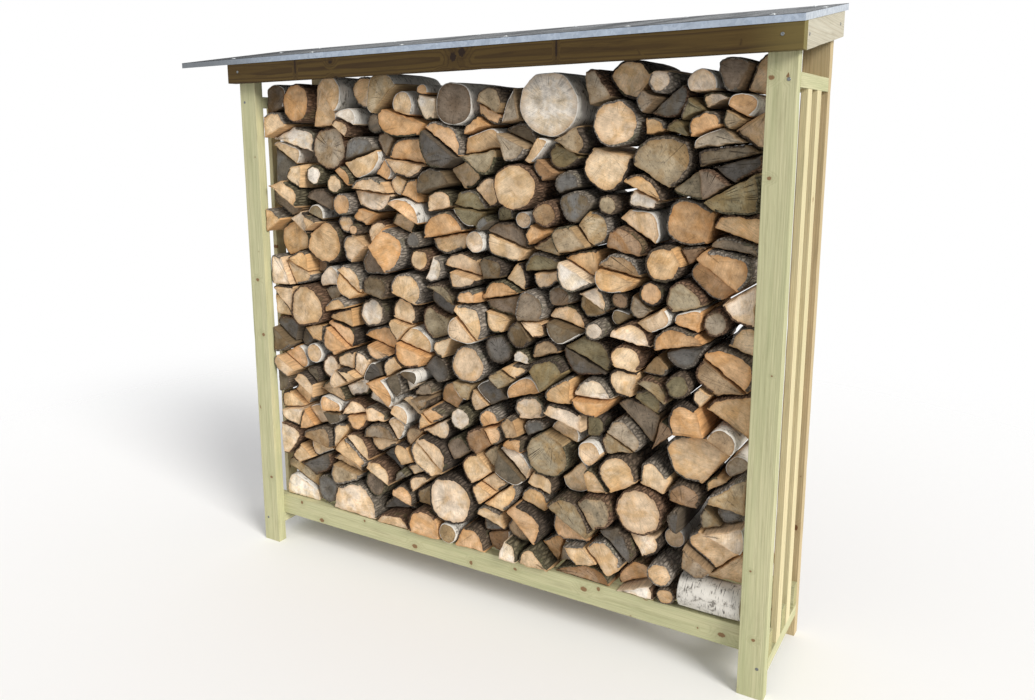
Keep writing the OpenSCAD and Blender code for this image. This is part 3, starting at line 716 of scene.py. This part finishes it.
# The share of logs with grey ends halfway along, and how much it rises a metre to the right
GREY_SHARE, GREY_RISE = 0.37, 0.14
BIRCH_SHARE = 0.2
# The space between points along an outline
POINT_STEP = 0.007
# How far from a log's middle the inner rings of its end lie, and where its body's rings are
END_SHARES = (0.3, 0.62, 0.86, 1.0)
BODY_SHARES = (0.05, 0.11, 0.2, 0.34, 0.55, 0.8, 0.93)


def log_outlines(node, flat_axes, long_axis):
    """The CAD logs of a node, each as its end outline in order, and where it starts and stops."""
    bm = welded(node)
    left, found = set(bm.verts), []
    while left:
        group, todo = set(), [next(iter(left))]
        while todo:
            v = todo.pop()
            if v in group:
                continue
            group.add(v)
            todo.extend(e.other_vert(v) for e in v.link_edges)
        left -= group
        spots = np.array([v.co for v in group])
        start, stop = spots[:, long_axis].min(), spots[:, long_axis].max()
        ends = spots[spots[:, long_axis] < (start + stop) / 2][:, flat_axes]
        out = ends - ends.mean(0)
        order = np.argsort(np.arctan2(out[:, 1], out[:, 0]))
        found.append((ends[order], start, stop))
    bm.free()
    found.sort(key=lambda f: tuple(np.round(f[0].mean(0), 5)))
    return found


def corner_angles(outline):
    """The inner angle at each corner of an outline, in degrees."""
    before = np.roll(outline, 1, 0) - outline
    after = np.roll(outline, -1, 0) - outline
    cosine = (before * after).sum(1) / np.linalg.norm(before, axis=1) / np.linalg.norm(after, axis=1)
    return np.degrees(np.arccos(np.clip(cosine, -1, 1)))


def bark_edges(outline):
    """Which edges of an outline carry bark, and where the pith lies.
    A wedge is split at its sharpest corner, and a half log along its longest edge."""
    round_share, wedge_angle = 0.74, 100
    middle = outline.mean(0)
    edges = np.roll(outline, -1, 0) - outline
    lengths = np.linalg.norm(edges, axis=1)
    normals = np.stack([edges[:, 1], -edges[:, 0]], 1) / lengths[:, None]
    reach = ((outline - middle) * normals).sum(1)
    outer = np.linalg.norm(outline - middle, axis=1).max()
    angles = corner_angles(outline)
    sharp = int(angles.argmin())
    bark = np.ones(len(outline), bool)
    if reach.min() / outer > round_share:
        return bark, middle
    if angles[sharp] < wedge_angle:
        bark[[sharp, sharp - 1]] = False
        return bark, outline[sharp] * 0.85 + middle * 0.15
    longest = int(lengths.argmax())
    bark[longest] = False
    side = (outline[longest] + outline[(longest + 1) % len(outline)]) / 2
    return bark, side * 0.9 + middle * 0.1


def eased_outline(outline, bark):
    """An outline as closely spaced points, rounded well on its bark and little at its splits."""
    points, covered = [], []
    for i, (a, b) in enumerate(zip(outline, np.roll(outline, -1, 0))):
        steps = max(1, round(np.linalg.norm(b - a) / POINT_STEP))
        for k in range(steps):
            points.append(a + (b - a) * k / steps)
            covered.append(bark[i] and (k > 0 or bark[i - 1]))
    points, covered = np.array(points), np.array(covered)
    # A wide log is smoothed more, so that every one loses about 2 mm
    for turn in range(2 + round(len(points) * 0.25)):
        eased = (np.roll(points, 1, 0) + points * 2 + np.roll(points, -1, 0)) / 4
        if turn < 2:
            points = eased
        else:
            points[covered] = eased[covered]
    return points, covered


def add_log(parts, outline, start, stop, place, chance, look):
    """Adds one log's points, faces and looks to the lists for a joined mesh."""
    # The step from bark to wood, the most that a point lies inside its outline, and how far along
    # the log a split is torn open
    gap, deepest, torn_reach = 0.0008, 0.011, 0.06
    # How deep the two rings of the end's worn edge lie below its cut
    edge_depths = (0.0006, 0.0025)
    bark, pith = bark_edges(outline)
    contour, covered = eased_outline(outline, bark)
    middle = contour.mean(0)
    count = len(contour)
    size = np.linalg.norm(contour - middle, axis=1).mean()
    seed = chance.uniform(0, 60)
    length = stop - start
    normals = np.roll(contour, -1, 0) - np.roll(contour, 1, 0)
    normals = np.stack([normals[:, 1], -normals[:, 0]], 1)
    normals /= np.maximum(np.linalg.norm(normals, axis=1), 1e-9)[:, None]
    skin = {ROUGH: chance.uniform(0.0035, 0.0065), BIRCH: chance.uniform(0.0015, 0.0025)}[look["bark"]]
    tilt = [chance.uniform(-0.045, 0.045) for _ in range(4)]

    def shrunk(by):
        return contour - normals * by[:, None]

    def ragged(at):
        """How far each point of the contour lies inside its outline at a place along the log."""
        rough = np.array([noise.fractal(Vector((p[0] * 60, p[1] * 60, at * 12 + seed)), 0.9, 2.0, 3)
                          for p in contour])
        wavy = np.array([noise.noise(Vector((p[0] * 24, p[1] * 24, at * 7 + seed + 9))) for p in contour])
        # Splits are torn at the log's ends and lie close together inside
        inside = min(1.0, max(0.0, min(at - start, stop - at)) / torn_reach)
        bark_depth = (0.0030 if look["bark"] == ROUGH else 0.0014) * (1 - 0.5 * inside)
        deep = np.where(covered, bark_depth, 0.0026 * (1 - inside))
        torn = np.where(covered, 0.0, 0.0045 * (1 - inside)) * (wavy + 0.4)
        # No trunk is quite round: hollows a few centimetres wide, less deep in a thin log
        hollow = np.array([noise.noise(Vector((p[0] * 17, p[1] * 17, seed + at * 2))) for p in contour])
        dip = np.where(covered, min(0.007, size * 0.10), 0.002) * (1 - 0.6 * inside)
        hollowed = np.maximum(hollow + 0.3, 0) * dip
        return np.clip((rough + 0.55) * deep + np.maximum(torn, 0) + hollowed, 0, deepest)

    def cap_offset(ring, slope_a, slope_b):
        """How far a tilted saw cut lies inside the log's end, never outside it."""
        lean = (ring - middle) @ np.array([slope_a, slope_b])
        reach = abs((contour - middle) @ np.array([slope_a, slope_b])).max()
        return lean + reach

    patchy = np.array([noise.noise(Vector((p[0] * 45, p[1] * 45, seed))) for p in contour])
    rim = np.where(covered, min(skin, size * 0.14) * (1 + 0.6 * patchy), gap)
    rings = []
    for at_start in (True, False):
        slope_a, slope_b = tilt[:2] if at_start else tilt[2:]
        edge = ragged(start if at_start else stop)
        inner = shrunk(edge + rim + gap)
        levels = [(middle + (inner - middle) * share, 0.0) for share in END_SHARES]
        levels += zip((shrunk(edge + gap), shrunk(edge)), edge_depths)
        made = []
        for ring, down in levels:
            depth = cap_offset(ring, slope_a, slope_b) + down
            made.append(np.column_stack([ring, start + depth if at_start else stop - depth]))
        rings.append(made)
    front, back = rings
    body = []
    for share in BODY_SHARES:
        at = start + length * share
        body.append(np.column_stack([shrunk(ragged(at)), np.full(count, at)]))
    sequence = front + body + back[::-1]
    first = len(parts["points"])
    tip_front = np.array([[*middle, front[0][:, 2].mean()]])
    tip_back = np.array([[*middle, back[0][:, 2].mean()]])
    flat = np.vstack([tip_front, *sequence, tip_back])
    parts["points"].extend(place(p) for p in flat)
    ring_vectors = np.column_stack([flat[:, 0] - pith[0], flat[:, 1] - pith[1], flat[:, 2] + seed])
    parts["ring"].extend(ring_vectors)
    parts["look"].extend([(seed, look["age"], look["heart"])] * len(flat))
    rims = [0.0]
    for k in range(len(sequence)):
        from_end = min(k, len(sequence) - 1 - k)
        rims.extend([END_SHARES[min(from_end, len(END_SHARES) - 1)]] * count)
    rims.append(0.0)
    parts["end_colour"].extend([(*look["end"][:3], share) for share in rims])
    parts["bark_colour"].extend([look["bark_colour"]] * len(flat))
    for i in range(count):
        j = (i + 1) % count
        parts["faces"].append((first, first + 1 + j, first + 1 + i))
        parts["kinds"].append(END)
        parts["smooth"].append(False)
        side = look["bark"] if covered[i] and covered[j] else SPLIT
        for k in range(len(sequence) - 1):
            a, b = first + 1 + k * count, first + 1 + (k + 1) * count
            parts["faces"].append((a + i, a + j, b + j, b + i))
            on_end = k < len(END_SHARES) - 1 or k >= len(sequence) - len(END_SHARES)
            parts["kinds"].append(END if on_end else side)
            parts["smooth"].append(not on_end)
        last = first + len(flat) - 1
        top = last - count
        parts["faces"].append((last, top + i, top + j))
        parts["kinds"].append(END)
        parts["smooth"].append(False)


def log_look(chance, across):
    """What kind of wood a log is, how old its ends are and what bark it has.
    Fewer logs have turned grey towards the left."""
    grey = chance.random() < GREY_SHARE + GREY_RISE * across
    birch = chance.random() < BIRCH_SHARE
    shade = chance.uniform(0.86, 1.08)
    end = srgb(chance.choice(GREY_ENDS if grey else FRESH_ENDS))
    return {
        "end": [c * shade for c in end[:3]] + [1.0],
        "bark_colour": srgb(chance.choice(BARKS)),
        "bark": BIRCH if birch else ROUGH,
        "age": chance.uniform(0.6, 1.0) if grey else chance.uniform(0.0, 0.3),
        "heart": chance.uniform(0.0, 0.9) if chance.random() < 0.5 else 0.0,
    }


def joined_logs(node, flat_axes, long_axis, seed):
    """One joined mesh of detailed logs in place of a CAD node of plain ones."""
    chance = random.Random(seed)
    names = ("points", "faces", "kinds", "smooth", "ring", "look", "end_colour", "bark_colour")
    parts = {name: [] for name in names}

    def place(p):
        spot = [0.0, 0.0, 0.0]
        spot[flat_axes[0]], spot[flat_axes[1]], spot[long_axis] = p
        return spot

    for outline, start, stop in log_outlines(node, flat_axes, long_axis):
        look = log_look(chance, outline[:, 0].mean())
        if long_axis == 0:
            look = {**look, "bark": BIRCH, "end": srgb("#d9b994"), "age": 0.1}
        add_log(parts, outline, start, stop, place, chance, look)
    mesh = bpy.data.meshes.new(node + "_cut")
    mesh.from_pydata(parts["points"], [], parts["faces"])
    mesh.polygons.foreach_set("material_index", parts["kinds"])
    mesh.polygons.foreach_set("use_smooth", parts["smooth"])
    for name in ("ring", "look"):
        vectors = mesh.attributes.new(name, "FLOAT_VECTOR", "POINT")
        vectors.data.foreach_set("vector", np.array(parts[name]).ravel())
    for name in ("end_colour", "bark_colour"):
        colours = mesh.attributes.new(name, "FLOAT_COLOR", "POINT")
        colours.data.foreach_set("color", np.array(parts[name]).ravel())
    for material in LOG_MATERIALS:
        mesh.materials.append(material)
    bm = bmesh.new()
    bm.from_mesh(mesh)
    bmesh.ops.recalc_face_normals(bm, faces=bm.faces)
    bm.to_mesh(mesh)
    bm.free()
    logs = in_scene(node + "_cut", mesh)
    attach(logs, "root")
    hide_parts(node)


for course in range(1, 18):
    joined_logs(f"logs_course_{course:02d}", [0, 2], 1, 100 + course)
joined_logs("logs_lengthwise", [1, 2], 0, 200)
